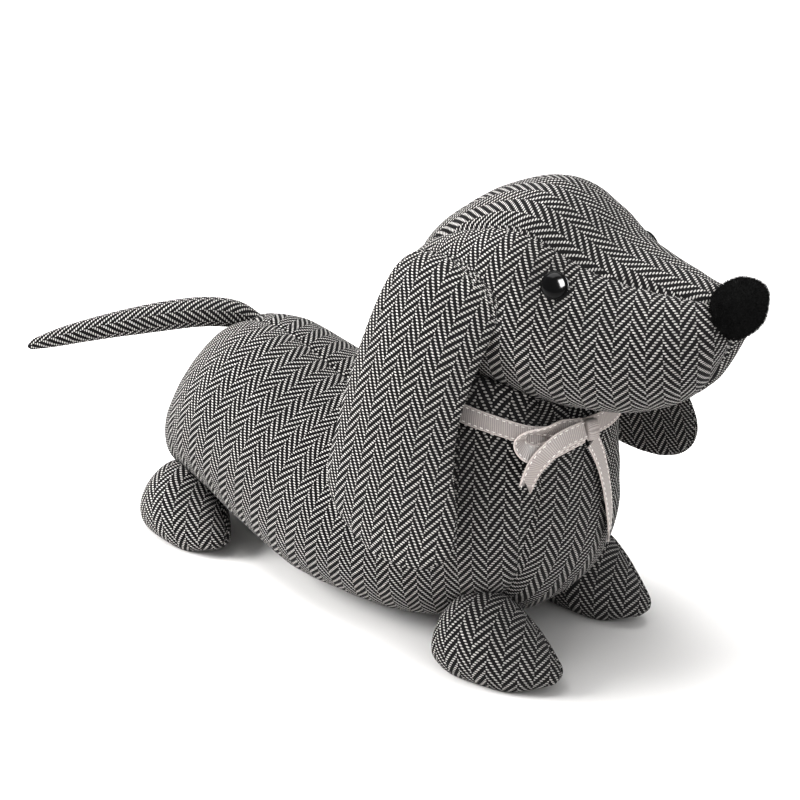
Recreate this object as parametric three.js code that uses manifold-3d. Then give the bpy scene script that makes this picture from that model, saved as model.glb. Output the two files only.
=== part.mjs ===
// A stuffed dachshund doorstop in herringbone cloth, with a ribbon tied in a half bow round its neck.
// Millimetres, +Z up, +X towards the nose, +Y to the dog's left. The tables below are drawn with x = 0
// over the front feet, y = 0 on the middle of the dog and z = 0 on the floor. The finished group is
// moved so that its origin lies on the floor under the middle of the whole dog.

import * as THREE from 'three';
import { mergeVertices } from 'three/addons/utils/BufferGeometryUtils.js';
import Module from 'manifold-3d';

const wasm = await Module();
wasm.setup();

// Driving dimensions
const GAP = 0.3;
const NECK_GAP = 0.5;
const NOSE_GAP = 0.9;
const STEPS_PER_ROW = 2;
const STRIP_STEPS_PER_ROW = 3;
const BODY_SIDES = 36;
const HEAD_SIDES = 32;
const FOOT_SIDES = 18;
const EAR_SIDES = 20;
const TAIL_SIDES = 14;
const EAR_THICKNESS = 5.5;
const EYE_DIAMETER = 14.5;
const EYE_DEPTH = 5.4;
const RIBBON_WIDTH = 10;
const RIBBON_THICKNESS = 1.2;
const RIBBON_LIFT = 0.6;
const FLOOR_BLOCK = { length: 900, width: 400, depth: 60 };
// Powers below 1 give an oval section squarer corners.
const EAR_SQUARENESS = 0.6;
const KNOT_SQUARENESS = 0.62;

// Colours and finishes
const herringbone = { color: 0x6f6e6d, roughness: 0.95, metalness: 0 };
const nosePlush = { color: 0x141414, roughness: 1, metalness: 0 };
const eyePlastic = { color: 0x0a0a0c, roughness: 0.15, metalness: 0 };
const ribbonCloth = { color: 0xb5aaa6, roughness: 0.7, metalness: 0 };

function table(columns, rows) {
  const names = columns.split(' ');
  return rows.map((row) => Object.fromEntries(names.map((name, i) => [name, row[i]])));
}

// Each row is one section of the stuffed body. It is a closed oval between its under point, on the belly
// or the chest, and its over point, on the back or the nape. The first rows stand upright from the rump
// to the shoulder, and the later ones fan round the nape and lie flat up the neck. "low" moves the
// widest level towards the under point.
const SECTION_COLUMNS = 'underX underZ overX overZ halfWidth low';
const BODY = table(SECTION_COLUMNS, [
  [-281, 38, -275, 84, 24, 0.2],
  [-273, 27, -262, 103, 42, 0.22],
  [-255, 21, -243, 123, 53, 0.16],
  [-228, 15, -217, 132, 61, 0.12],
  [-192, 6, -186, 126, 67, 0.12],
  [-150, -3, -154, 115, 73, 0.12],
  [-108, -4, -127, 108, 75, 0.12],
  [-72, -3, -108, 110, 74, 0.12],
  [-38, 4, -97, 124, 71, 0.1],
  [-9, 17, -92, 142, 68, 0],
  [14, 37, -90, 145, 66, 0],
  [26, 63, -89, 148, 63, 0],
  [29, 92, -88, 151, 59, 0],
  [28, 118, -87, 154, 56, 0],
  [26, 142, -86, 158, 53, 0],
  [16, 165, -80, 172, 46, 0],
]);
const RUMP_TIP = [-284, 58];
const NECK_TOP = [-30, 176];
const COLLAR_ROW = 13.95;

// The head's sections run from the back of the skull to the muzzle, from the chin to the brow.
const HEAD = table(SECTION_COLUMNS, [
  [-91, 185, -88, 212, 25, 0],
  [-82, 167, -77, 225, 40, 0],
  [-63, 153, -60, 241, 49, 0],
  [-36, 147, -34, 257, 54, 0],
  [-6, 146, -6, 264, 55, 0],
  [16, 148, 15, 256, 52, 0],
  [36, 151, 34, 245, 46, 0],
  [56, 156, 55, 238, 39, 0],
  [75, 165, 76, 234, 32, 0],
  [89, 178, 91, 231, 25, 0],
  [98, 195, 102, 228, 18, 0],
]);
const SKULL_TIP = [-94, 199];
const MUZZLE_TIP = [106, 213];

// Each row of an ear is one level of the hanging flap, from the seam on the skull to the rounded end.
const EAR_COLUMNS = 'z rearX frontX middleY curl';
const EAR_RIGHT = table(EAR_COLUMNS, [
  [226, -60, -26, 47, 4],
  [221, -69, -9, 52, 5],
  [214, -74, -1, 56, 6],
  [200, -79, -2, 61, 6],
  [180, -84, -7, 68, 7],
  [155, -89, -12, 75, 7],
  [130, -93, -12, 80, 7],
  [105, -95, -5, 85, 6],
  [89, -89, -3, 88, 5],
  [78, -73, -9, 90, 3],
  [72, -55, -22, 91, 1],
]);
const EAR_LEFT = table(EAR_COLUMNS, [
  [226, -60, -26, 47, 4],
  [221, -68, -7, 52, 5],
  [214, -71, 3, 56, 6],
  [200, -72, 8, 61, 6],
  [180, -72, 15, 68, 7],
  [158, -69, 23, 75, 7],
  [136, -65, 31, 80, 7],
  [114, -60, 37, 85, 6],
  [98, -50, 33, 88, 5],
  [86, -36, 22, 90, 3],
  [79, -20, 8, 91, 1],
]);
const EAR_TOP = { x: -43, y: 44, z: 228 };
const EAR_RIGHT_END = { x: -38, y: 91, z: 70 };
const EAR_LEFT_END = { x: -6, y: 91, z: 77 };

// Each row of a foot is one section across it, from the heel to the toe. Its top leans to the dog's left.
const FOOT = table('along halfWidth underZ overZ lean', [
  [-34, 13, 0, 28, 4],
  [-21, 20, -4, 42, 6],
  [-2, 22, -4, 44, 6],
  [16, 18, -4, 33, 5],
  [31, 11, 2, 22, 3],
  [39, 6, 5, 16, 2],
]);
const FOOT_HEEL = { along: -38, z: 10 };
const FOOT_TOE = { along: 42.5, z: 10.5 };
const FEET = table('name x y turn', [
  ['foot_front_right', 0, -50, 8],
  ['foot_front_left', -4, 43, 0],
  ['foot_back_right', -237, -54, -10],
  ['foot_back_left', -237, 51, 10],
]);

// The tail's root is sewn into the rump. It swings to the dog's right and droops towards its tip.
const TAIL = table('along radius rise', [
  [-24, 6, -15],
  [-12, 8, -6],
  [0, 9.2, -0.5],
  [22, 9.8, 1],
  [52, 9.7, -3],
  [83, 8.4, -9],
  [108, 6.6, -15],
  [126, 4.2, -20],
]);
const TAIL_END = { along: -25, rise: -15 };
const TAIL_TIP = { along: 131, rise: -21.5 };
const TAIL_ROOT = new THREE.Vector3(-245, 0, 127);
const TAIL_SWING = 42;

// Each row of a ribbon strip is a place over the body's skin: the body row and turn under it, how far its
// middle stands off the skin, and how far its width leans up from lying flat.
const STRIP_COLUMNS = 'row turn lift lean';
const BOW_LOOP = table(STRIP_COLUMNS, [
  [13.98, 18, 3.3, 0],
  [14.01, 29.9, 3.7, 10],
  [14, 40.6, 6.5, 60],
  [13.93, 48.2, 7.4, 68],
  [13.74, 51.7, 7.2, 56],
  [13.53, 49.8, 6.4, 46],
  [13.43, 45.1, 5.2, 30],
  [13.54, 37.7, 4.6, 12],
  [13.73, 28.5, 4.7, 4],
  [13.87, 19.4, 4.9, 0],
]);
const BOW_TAIL_RIGHT = table(STRIP_COLUMNS, [
  [13.96, 18.4, 6.4, 0],
  [13.87, 28.7, 7.8, 0],
  [13.7, 36.2, 9.1, 0],
  [13.35, 42.5, 9.4, 6],
  [12.93, 45.6, 7, 24],
  [12.61, 47.5, 5.6, 34],
]);
const BOW_TAIL_LEFT = table(STRIP_COLUMNS, [
  [13.66, 12, 3.8, 12],
  [13.29, 6.7, 2.8, 14],
  [12.91, 2.9, 2.6, 15],
  [12.21, -1.8, 2.5, 16],
  [11.61, -5.4, 2.7, 20],
  [11.26, -5.3, 3.3, 28],
]);
const TAIL_RIGHT_SLANT = -5.5;
const TAIL_LEFT_SLANT = -6;
const KNOT = { row: 13.92, turn: 13.4, lift: 5, halfWidth: 4.3, halfHeight: 5.8, halfDepth: 2.8 };

// The nose is a padded cap that sits on the muzzle's end, squarer than a ball.
const NOSE = { x: 101.5, z: 223.5, length: 11.5, halfWidth: 17.5, halfHeight: 14.2 };
const NOSE_SQUARENESS = 0.8;
const EYE = { row: 5.42, turn: 122 };

const radians = THREE.MathUtils.degToRad;

function squaredOff(value, power) {
  return Math.sign(value) * Math.abs(value) ** power;
}

// Rows are joined by a smooth curve through every named value.
function between(rows, place) {
  const last = rows.length - 1;
  const i = Math.min(Math.floor(place), last - 1);
  const f = place - i;
  const pick = (k) => rows[Math.min(Math.max(k, 0), last)];
  const mixed = {};
  for (const name of Object.keys(rows[0])) {
    const [a, b, c, d] = [pick(i - 1), pick(i), pick(i + 1), pick(i + 2)].map((row) => row[name]);
    const slope = (c - a) / 2;
    const nextSlope = (d - b) / 2;
    const bend = 3 * (c - b) - 2 * slope - nextSlope;
    const twist = 2 * (b - c) + slope + nextSlope;
    mixed[name] = b + slope * f + bend * f * f + twist * f ** 3;
  }
  return mixed;
}

// turn is 0 on the under point, 90 on the dog's right side and 180 on the over point.
function sectionPoint(section, turn, grow = 0) {
  const under = new THREE.Vector3(section.underX, 0, section.underZ);
  const over = new THREE.Vector3(section.overX, 0, section.overZ);
  const middle = under.clone().add(over).multiplyScalar(0.5);
  const half = under.clone().sub(over).multiplyScalar(0.5);
  half.setLength(half.length() + grow);
  const side = Math.sin(radians(turn));
  const down = Math.cos(radians(turn)) + section.low * side * side;
  middle.addScaledVector(half, down);
  middle.y = -(section.halfWidth + grow) * side;
  return middle;
}

function ringsOf(rows, makeRing) {
  const count = (rows.length - 1) * STEPS_PER_ROW;
  return Array.from({ length: count + 1 }, (_, k) => makeRing(between(rows, k / STEPS_PER_ROW)));
}

function ovalRing(section, sides, grow) {
  return Array.from({ length: sides }, (_, j) => sectionPoint(section, (360 * j) / sides, grow));
}

// A closed skin over rings of points, with a tip at each end.
function skin(rings, firstTip, lastTip) {
  const sides = rings[0].length;
  const points = [firstTip, ...rings.flat(), lastTip];
  const faces = [];
  const at = (ring, j) => 1 + ring * sides + (j % sides);
  for (let j = 0; j < sides; j += 1) {
    faces.push(0, at(0, j + 1), at(0, j));
    faces.push(points.length - 1, at(rings.length - 1, j), at(rings.length - 1, j + 1));
  }
  for (let ring = 0; ring < rings.length - 1; ring += 1) {
    for (let j = 0; j < sides; j += 1) {
      faces.push(at(ring, j), at(ring, j + 1), at(ring + 1, j));
      faces.push(at(ring, j + 1), at(ring + 1, j + 1), at(ring + 1, j));
    }
  }
  const geometry = new THREE.BufferGeometry().setFromPoints(points);
  geometry.setIndex(faces);
  return geometry;
}

// A band of four-cornered sections along a path, closed into a ring or with two flat ends.
function strip(corners, closed) {
  const count = corners.length;
  const faces = [];
  const at = (k, j) => (k % count) * 4 + (j % 4);
  for (let k = 0; k < (closed ? count : count - 1); k += 1) {
    for (let j = 0; j < 4; j += 1) {
      faces.push(at(k, j), at(k, j + 1), at(k + 1, j));
      faces.push(at(k, j + 1), at(k + 1, j + 1), at(k + 1, j));
    }
  }
  if (!closed) {
    faces.push(at(0, 0), at(0, 2), at(0, 1), at(0, 0), at(0, 3), at(0, 2));
    const end = count - 1;
    faces.push(at(end, 0), at(end, 1), at(end, 2), at(end, 0), at(end, 2), at(end, 3));
  }
  const geometry = new THREE.BufferGeometry().setFromPoints(corners.flat());
  geometry.setIndex(faces);
  return geometry;
}

function signedVolume(positions, faces) {
  let volume = 0;
  const [a, b, c] = [new THREE.Vector3(), new THREE.Vector3(), new THREE.Vector3()];
  for (let i = 0; i < faces.length; i += 3) {
    a.fromArray(positions, faces[i] * 3);
    b.fromArray(positions, faces[i + 1] * 3);
    c.fromArray(positions, faces[i + 2] * 3);
    volume += a.dot(b.cross(c)) / 6;
  }
  return volume;
}

// A closed geometry as a solid, with its faces turned outwards.
function solid(geometry) {
  const bare = geometry.clone();
  bare.deleteAttribute('normal');
  bare.deleteAttribute('uv');
  const merged = mergeVertices(bare, 1e-4);
  const vertProperties = new Float32Array(merged.attributes.position.array);
  const triVerts = new Uint32Array(merged.index.array);
  if (signedVolume(vertProperties, triVerts) < 0) {
    for (let i = 0; i < triVerts.length; i += 3) {
      [triVerts[i + 1], triVerts[i + 2]] = [triVerts[i + 2], triVerts[i + 1]];
    }
  }
  return new wasm.Manifold(new wasm.Mesh({ numProp: 3, vertProperties, triVerts }));
}

function geometryOf(body) {
  const { vertProperties, triVerts } = body.getMesh();
  const geometry = new THREE.BufferGeometry();
  geometry.setAttribute('position', new THREE.BufferAttribute(new Float32Array(vertProperties), 3));
  geometry.setIndex(new THREE.BufferAttribute(new Uint32Array(triVerts), 1));
  return geometry;
}

function floorShape() {
  const { length, width, depth } = FLOOR_BLOCK;
  return solid(new THREE.BoxGeometry(length, width, depth).translate(0, 0, -depth / 2));
}

function bodyShape(grow = 0) {
  const rings = ringsOf(BODY, (section) => ovalRing(section, BODY_SIDES, grow));
  const rump = new THREE.Vector3(RUMP_TIP[0] - grow, 0, RUMP_TIP[1]);
  const neck = new THREE.Vector3(NECK_TOP[0], 0, NECK_TOP[1] + grow);
  return solid(skin(rings, rump, neck));
}

function headShape(grow = 0) {
  const rings = ringsOf(HEAD, (section) => ovalRing(section, HEAD_SIDES, grow));
  const skull = new THREE.Vector3(SKULL_TIP[0] - grow, 0, SKULL_TIP[1]);
  const muzzle = new THREE.Vector3(MUZZLE_TIP[0] + grow, 0, MUZZLE_TIP[1]);
  return solid(skin(rings, skull, muzzle));
}

// One level of an ear: a thin flattened oval whose front and rear edges curl in towards the neck.
function earRing(level, side) {
  const middleX = (level.frontX + level.rearX) / 2;
  const halfLength = (level.frontX - level.rearX) / 2;
  return Array.from({ length: EAR_SIDES }, (_, j) => {
    const angle = (2 * Math.PI * j) / EAR_SIDES;
    const reach = Math.cos(angle);
    const edge = squaredOff(Math.sin(angle), EAR_SQUARENESS);
    const y = level.middleY - level.curl * reach * reach + (EAR_THICKNESS / 2) * edge;
    return new THREE.Vector3(middleX + halfLength * reach, side * y, level.z);
  });
}

function earShape(rows, end, side) {
  const rings = ringsOf(rows, (level) => earRing(level, side));
  const top = new THREE.Vector3(EAR_TOP.x, side * EAR_TOP.y, EAR_TOP.z);
  const bottom = new THREE.Vector3(end.x, side * end.y, end.z);
  return solid(skin(rings, top, bottom));
}

function footRing(section) {
  const middleZ = (section.underZ + section.overZ) / 2;
  const halfHeight = (section.overZ - section.underZ) / 2;
  return Array.from({ length: FOOT_SIDES }, (_, j) => {
    const angle = (2 * Math.PI * j) / FOOT_SIDES;
    const y = section.halfWidth * Math.cos(angle) + section.lean * Math.sin(angle);
    return new THREE.Vector3(section.along, y, middleZ + halfHeight * Math.sin(angle));
  });
}

function footShape(place) {
  const rings = ringsOf(FOOT, footRing);
  const heel = new THREE.Vector3(FOOT_HEEL.along, 0, FOOT_HEEL.z);
  const toe = new THREE.Vector3(FOOT_TOE.along, 0, FOOT_TOE.z);
  const geometry = skin(rings, heel, toe);
  geometry.rotateZ(radians(place.turn));
  geometry.translate(place.x, place.y, 0);
  return solid(geometry);
}

function tailRing(section) {
  return Array.from({ length: TAIL_SIDES }, (_, j) => {
    const angle = (2 * Math.PI * j) / TAIL_SIDES;
    const z = section.rise + section.radius * Math.sin(angle);
    return new THREE.Vector3(-section.along, section.radius * Math.cos(angle), z);
  });
}

function tailShape() {
  const rings = ringsOf(TAIL, tailRing);
  const root = new THREE.Vector3(-TAIL_END.along, 0, TAIL_END.rise);
  const tip = new THREE.Vector3(-TAIL_TIP.along, 0, TAIL_TIP.rise);
  const geometry = skin(rings, root, tip);
  geometry.rotateZ(radians(TAIL_SWING));
  geometry.translate(TAIL_ROOT.x, TAIL_ROOT.y, TAIL_ROOT.z);
  return solid(geometry);
}

function noseShape() {
  const geometry = new THREE.SphereGeometry(1, 20, 14);
  const place = geometry.attributes.position;
  for (let i = 0; i < place.count; i += 1) {
    const [x, y, z] = [place.getX(i), place.getY(i), place.getZ(i)];
    place.setXYZ(
      i,
      NOSE.x + NOSE.length * squaredOff(x, NOSE_SQUARENESS),
      NOSE.halfWidth * squaredOff(y, NOSE_SQUARENESS),
      NOSE.z + NOSE.halfHeight * squaredOff(z, NOSE_SQUARENESS),
    );
  }
  return solid(geometry);
}

// Where a row and a turn lie on a body's skin, and the way straight out from there.
function skinPlace(rows, row, turn, lift) {
  const point = sectionPoint(between(rows, row), turn);
  const along = sectionPoint(between(rows, row + 0.02), turn).sub(point);
  const round = sectionPoint(between(rows, row), turn + 0.5).sub(point);
  const out = along.cross(round).normalize();
  return { point: point.addScaledVector(out, lift), out };
}

function eyeShape(side) {
  const { point, out } = skinPlace(HEAD, EYE.row, EYE.turn, 0);
  const radius = EYE_DIAMETER / 2;
  const profile = Array.from({ length: 7 }, (_, k) => {
    const angle = (Math.PI * k) / 6;
    return new THREE.Vector2(radius * Math.sin(angle), (EYE_DEPTH / 2) * Math.cos(angle));
  });
  profile[0].x = 0;
  profile[6].x = 0;
  const geometry = new THREE.LatheGeometry(profile, 20);
  const turn = new THREE.Quaternion().setFromUnitVectors(new THREE.Vector3(0, 1, 0), out);
  geometry.applyQuaternion(turn);
  geometry.translate(point.x, point.y, point.z);
  if (side > 0) geometry.scale(1, -1, 1);
  return solid(geometry);
}

function bandShape() {
  const chest = Math.floor(COLLAR_ROW);
  const mmPerRow = sectionPoint(BODY[chest + 1], 0).distanceTo(sectionPoint(BODY[chest], 0));
  const half = RIBBON_WIDTH / 2 / mmPerRow;
  const corners = Array.from({ length: BODY_SIDES }, (_, j) => {
    const turn = (360 * j) / BODY_SIDES;
    const low = skinPlace(BODY, COLLAR_ROW - half, turn, RIBBON_LIFT);
    const high = skinPlace(BODY, COLLAR_ROW + half, turn, RIBBON_LIFT);
    return [
      low.point,
      low.point.clone().addScaledVector(low.out, RIBBON_THICKNESS),
      high.point.clone().addScaledVector(high.out, RIBBON_THICKNESS),
      high.point,
    ];
  });
  return solid(strip(corners, true));
}

// A strip of ribbon over a path on the body's skin. slant makes one edge longer at the far end.
function ribbonStrip(rows, slant) {
  const count = (rows.length - 1) * STRIP_STEPS_PER_ROW;
  const centre = (k) => {
    const at = between(rows, k / STRIP_STEPS_PER_ROW);
    return { ...skinPlace(BODY, at.row, at.turn, at.lift), lean: radians(at.lean) };
  };
  const corners = [];
  for (let k = 0; k <= count; k += 1) {
    const { point, out, lean } = centre(k);
    const ahead = centre(Math.min(k + 0.05, count)).point;
    const path = ahead.sub(centre(Math.min(k + 0.05, count) - 0.1).point).normalize();
    const across = path.clone().cross(out).normalize();
    const up = across.clone().cross(path).normalize();
    const width = across.clone().multiplyScalar(Math.cos(lean)).addScaledVector(up, Math.sin(lean));
    const thick = up.clone().multiplyScalar(Math.cos(lean)).addScaledVector(across, -Math.sin(lean));
    width.multiplyScalar(RIBBON_WIDTH / 2);
    thick.multiplyScalar(RIBBON_THICKNESS / 2);
    const extra = path.clone().multiplyScalar(k === count ? slant : 0);
    corners.push([
      point.clone().sub(width).sub(thick).sub(extra),
      point.clone().add(width).sub(thick).add(extra),
      point.clone().add(width).add(thick).add(extra),
      point.clone().sub(width).add(thick).sub(extra),
    ]);
  }
  return solid(strip(corners, false));
}

// The knot is a small rounded cushion of ribbon standing on the band.
function knotShape() {
  const { point, out } = skinPlace(BODY, KNOT.row, KNOT.turn, KNOT.lift);
  const up = sectionPoint(between(BODY, KNOT.row + 0.1), KNOT.turn);
  up.sub(sectionPoint(between(BODY, KNOT.row), KNOT.turn)).projectOnPlane(out).normalize();
  const side = up.clone().cross(out);
  const geometry = new THREE.SphereGeometry(1, 16, 12);
  const place = geometry.attributes.position;
  const v = new THREE.Vector3();
  for (let i = 0; i < place.count; i += 1) {
    v.fromBufferAttribute(place, i);
    const spot = point.clone();
    spot.addScaledVector(side, KNOT.halfWidth * squaredOff(v.x, KNOT_SQUARENESS));
    spot.addScaledVector(up, KNOT.halfHeight * squaredOff(v.y, KNOT_SQUARENESS));
    spot.addScaledVector(out, KNOT.halfDepth * squaredOff(v.z, KNOT_SQUARENESS));
    place.setXYZ(i, spot.x, spot.y, spot.z);
  }
  return solid(geometry);
}

function piece(name, body, look) {
  const mesh = new THREE.Mesh(geometryOf(body), new THREE.MeshStandardMaterial(look));
  mesh.name = name;
  return mesh;
}

const floorBlock = floorShape();
const headRaw = headShape();
const bodyGrown = bodyShape(GAP);
const headGrown = headShape(GAP);

const dog = new THREE.Group();
dog.add(piece('body', bodyShape().subtract(floorBlock).subtract(headShape(NECK_GAP)), herringbone));
dog.add(piece('head', headRaw, herringbone));
for (const place of FEET) {
  dog.add(piece(place.name, footShape(place).subtract(floorBlock).subtract(bodyGrown), herringbone));
}
const ears = [['ear_right', EAR_RIGHT, EAR_RIGHT_END, -1], ['ear_left', EAR_LEFT, EAR_LEFT_END, 1]];
for (const [name, rows, end, side] of ears) {
  dog.add(piece(name, earShape(rows, end, side).subtract(headGrown).subtract(bodyGrown), herringbone));
}
dog.add(piece('tail', tailShape().subtract(bodyGrown), herringbone));
dog.add(piece('nose', noseShape().subtract(headShape(NOSE_GAP)), nosePlush));
dog.add(piece('eye_right', eyeShape(-1).subtract(headGrown), eyePlastic));
dog.add(piece('eye_left', eyeShape(1).subtract(headGrown), eyePlastic));
dog.add(piece('ribbon_band', bandShape().subtract(headGrown), ribbonCloth));
dog.add(piece('ribbon_knot', knotShape().subtract(headGrown), ribbonCloth));
dog.add(piece('ribbon_loop', ribbonStrip(BOW_LOOP, 0).subtract(headGrown), ribbonCloth));
dog.add(piece('ribbon_tail_right', ribbonStrip(BOW_TAIL_RIGHT, TAIL_RIGHT_SLANT), ribbonCloth));
dog.add(piece('ribbon_tail_left', ribbonStrip(BOW_TAIL_LEFT, TAIL_LEFT_SLANT), ribbonCloth));

const box = new THREE.Box3().setFromObject(dog);
const middle = box.getCenter(new THREE.Vector3());
const toOrigin = new THREE.Vector3(-middle.x, -middle.y, -box.min.z);
for (const mesh of dog.children) mesh.geometry.translate(toOrigin.x, toOrigin.y, toOrigin.z);

export default dog;
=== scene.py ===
# The looks of a stuffed dachshund doorstop: herringbone cloth, a plush nose, domed eyes and a ribbon bow.
import math
from collections import namedtuple

import bmesh
import bpy
import numpy as np
from bpy.props import FloatProperty, FloatVectorProperty, IntProperty, PointerProperty
from mathutils import Matrix, Vector, noise
from mathutils.bvhtree import BVHTree
from mathutils.kdtree import KDTree


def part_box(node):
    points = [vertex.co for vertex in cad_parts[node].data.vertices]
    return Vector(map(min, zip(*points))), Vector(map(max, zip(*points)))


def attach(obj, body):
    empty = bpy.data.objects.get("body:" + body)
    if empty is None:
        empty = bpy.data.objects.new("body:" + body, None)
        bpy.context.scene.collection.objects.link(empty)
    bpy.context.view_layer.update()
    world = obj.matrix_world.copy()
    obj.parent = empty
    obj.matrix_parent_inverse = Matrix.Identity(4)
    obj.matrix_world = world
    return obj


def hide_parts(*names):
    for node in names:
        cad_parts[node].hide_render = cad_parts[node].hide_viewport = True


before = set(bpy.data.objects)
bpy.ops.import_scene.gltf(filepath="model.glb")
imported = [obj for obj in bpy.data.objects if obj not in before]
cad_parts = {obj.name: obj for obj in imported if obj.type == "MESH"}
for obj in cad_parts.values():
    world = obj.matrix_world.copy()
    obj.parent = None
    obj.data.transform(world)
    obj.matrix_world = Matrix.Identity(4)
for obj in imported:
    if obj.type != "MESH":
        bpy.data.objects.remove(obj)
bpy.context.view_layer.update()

bl_info = {
    "name": "Dog doorstop looks",
    "version": (1, 0, 0),
    "blender": (4, 5, 0),
    "location": "3D View > Sidebar > Doorstop",
    "description": "Sews the cloth, nose, eyes and ribbon of a stuffed dog doorstop over its solids",
    "category": "Object",
}

MM = 0.001

# The tables are in millimetres, with x = 0 over the front feet, y = 0 on the middle of the dog and z = 0
# on the floor. The frame's own origin lies under the middle of the whole dog.
UNDER_X, UNDER_Z, OVER_X, OVER_Z, HALF_WIDTH, LOW = range(6)
BODY = np.array([
    [-281, 38, -275, 84, 24, 0.2],
    [-273, 27, -262, 103, 42, 0.22],
    [-255, 21, -243, 123, 53, 0.16],
    [-228, 15, -217, 132, 61, 0.12],
    [-192, 6, -186, 126, 67, 0.12],
    [-150, -3, -154, 115, 73, 0.12],
    [-108, -4, -127, 108, 75, 0.12],
    [-72, -3, -108, 110, 74, 0.12],
    [-38, 4, -97, 124, 71, 0.1],
    [-9, 17, -92, 142, 68, 0],
    [14, 37, -90, 145, 66, 0],
    [26, 63, -89, 148, 63, 0],
    [29, 92, -88, 151, 59, 0],
    [28, 118, -87, 154, 56, 0],
    [26, 142, -86, 158, 53, 0],
    [16, 165, -80, 172, 46, 0],
])
RUMP_TIP = (-284, 0, 58)
NECK_TOP = (-30, 0, 176)
HEAD = np.array([
    [-91, 185, -88, 212, 25, 0],
    [-82, 167, -77, 225, 40, 0],
    [-63, 153, -60, 241, 49, 0],
    [-36, 147, -34, 257, 54, 0],
    [-6, 146, -6, 264, 55, 0],
    [16, 148, 15, 256, 52, 0],
    [36, 151, 34, 245, 46, 0],
    [56, 156, 55, 238, 39, 0],
    [75, 165, 76, 234, 32, 0],
    [89, 178, 91, 231, 25, 0],
    [98, 195, 102, 228, 18, 0],
])
SKULL_TIP = (-94, 0, 199)
MUZZLE_TIP = (106, 0, 213)

# The body's seams: one along the back, and one each side of the gusset that covers chest and belly.
# The head's seams: one under the chin, and one each side of the gusset over the brow. Each pair is a row
# of the table and the turn at which the near seam crosses it, from 0 underneath to 180 on top.
CHEST_SEAM = np.array([
    [0, 22], [3, 28], [7, 33], [9, 34], [10.1, 38.5], [10.7, 42.4], [11.2, 43.6], [11.7, 41.7], [12.3, 39.5],
    [15, 39.5],
])
BROW_SEAM = np.array([
    [0, 150], [2, 142], [3.1, 138], [4.1, 137], [5.1, 139.7], [5.8, 141.4], [6.7, 143.7], [7.6, 147.8],
    [8.3, 151], [8.9, 153], [10, 157],
])

EAR_Z, EAR_REAR, EAR_FRONT, EAR_MIDDLE, EAR_CURL = range(5)
EAR_RIGHT = np.array([
    [226, -60, -26, 47, 4],
    [221, -69, -9, 52, 5],
    [214, -74, -1, 56, 6],
    [200, -79, -2, 61, 6],
    [180, -84, -7, 68, 7],
    [155, -89, -12, 75, 7],
    [130, -93, -12, 80, 7],
    [105, -95, -5, 85, 6],
    [89, -89, -3, 88, 5],
    [78, -73, -9, 90, 3],
    [72, -55, -22, 91, 1],
])
EAR_LEFT = np.array([
    [226, -60, -26, 47, 4],
    [221, -68, -7, 52, 5],
    [214, -71, 3, 56, 6],
    [200, -72, 8, 61, 6],
    [180, -72, 15, 68, 7],
    [158, -69, 23, 75, 7],
    [136, -65, 31, 80, 7],
    [114, -60, 37, 85, 6],
    [98, -50, 33, 88, 5],
    [86, -36, 22, 90, 3],
    [79, -20, 8, 91, 1],
])
EAR_TOP = (-43, 44, 228)
EAR_ENDS = {"ear_right": (-38, 91, 70), "ear_left": (-6, 91, 77)}
EAR_THICKNESS = 5.5
EAR_SQUARENESS = 0.6

FOOT_ALONG, FOOT_HALF_WIDTH, FOOT_UNDER, FOOT_OVER, FOOT_LEAN = range(5)
FOOT = np.array([
    [-34, 13, 0, 28, 4],
    [-21, 20, -4, 42, 6],
    [-2, 22, -4, 44, 6],
    [16, 18, -4, 33, 5],
    [31, 11, 2, 22, 3],
    [39, 6, 5, 16, 2],
])
FOOT_HEEL = (-38, 0, 10)
FOOT_TOE = (42.5, 0, 10.5)
FEET = {
    "foot_front_right": (0, -50, 8),
    "foot_front_left": (-4, 43, 0),
    "foot_back_right": (-237, -54, -10),
    "foot_back_left": (-237, 51, 10),
}

TAIL_ALONG, TAIL_RADIUS, TAIL_RISE = range(3)
TAIL = np.array([
    [-24, 6, -15],
    [-12, 8, -6],
    [0, 9.2, -0.5],
    [22, 9.8, 1],
    [52, 9.7, -3],
    [83, 8.4, -9],
    [108, 6.6, -15],
    [126, 4.2, -20],
])
TAIL_END = (25, 0, -15)
TAIL_TIP = (-131, 0, -21.5)
TAIL_ROOT = (-245, 0, 127)
TAIL_SWING = 42
TAIL_PEAK_COLUMN = 6.6
SMALL_SPACING = 4.2

# Each row of a ribbon strip: the body row and turn under it, how far its middle stands off the skin, and
# how far its width leans up from lying flat.
COLLAR_ROW = 13.95
BAND_DIP = {"rows": 0.12, "turn": 44, "reach": 16}
BOW_LOOP = np.array([
    [13.98, 18, 3.3, 0],
    [14.01, 29.9, 3.7, 10],
    [14, 40.6, 6.5, 60],
    [13.93, 48.2, 7.4, 68],
    [13.74, 51.7, 7.2, 56],
    [13.53, 49.8, 6.4, 46],
    [13.43, 45.1, 5.2, 30],
    [13.54, 37.7, 4.6, 12],
    [13.73, 28.5, 4.7, 4],
    [13.87, 19.4, 4.9, 0],
])
BOW_TAIL_RIGHT = np.array([
    [13.96, 18.4, 6.4, 0],
    [13.87, 28.7, 7.8, 0],
    [13.7, 36.2, 9.1, 0],
    [13.35, 42.5, 9.4, 6],
    [12.93, 45.6, 7, 24],
    [12.61, 47.5, 5.6, 34],
])
BOW_TAIL_LEFT = np.array([
    [13.66, 12, 3.8, 12],
    [13.29, 6.7, 2.8, 14],
    [12.91, 2.9, 2.6, 15],
    [12.21, -1.8, 2.5, 16],
    [11.61, -5.4, 2.7, 20],
    [11.26, -5.3, 3.3, 28],
])
RIGHT_SLANT = -5.5
LEFT_SLANT = -6
KNOT = {"row": 13.92, "turn": 13.4, "lift": 5, "half_width": 4.3, "half_height": 5.8, "half_depth": 2.8}
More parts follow.
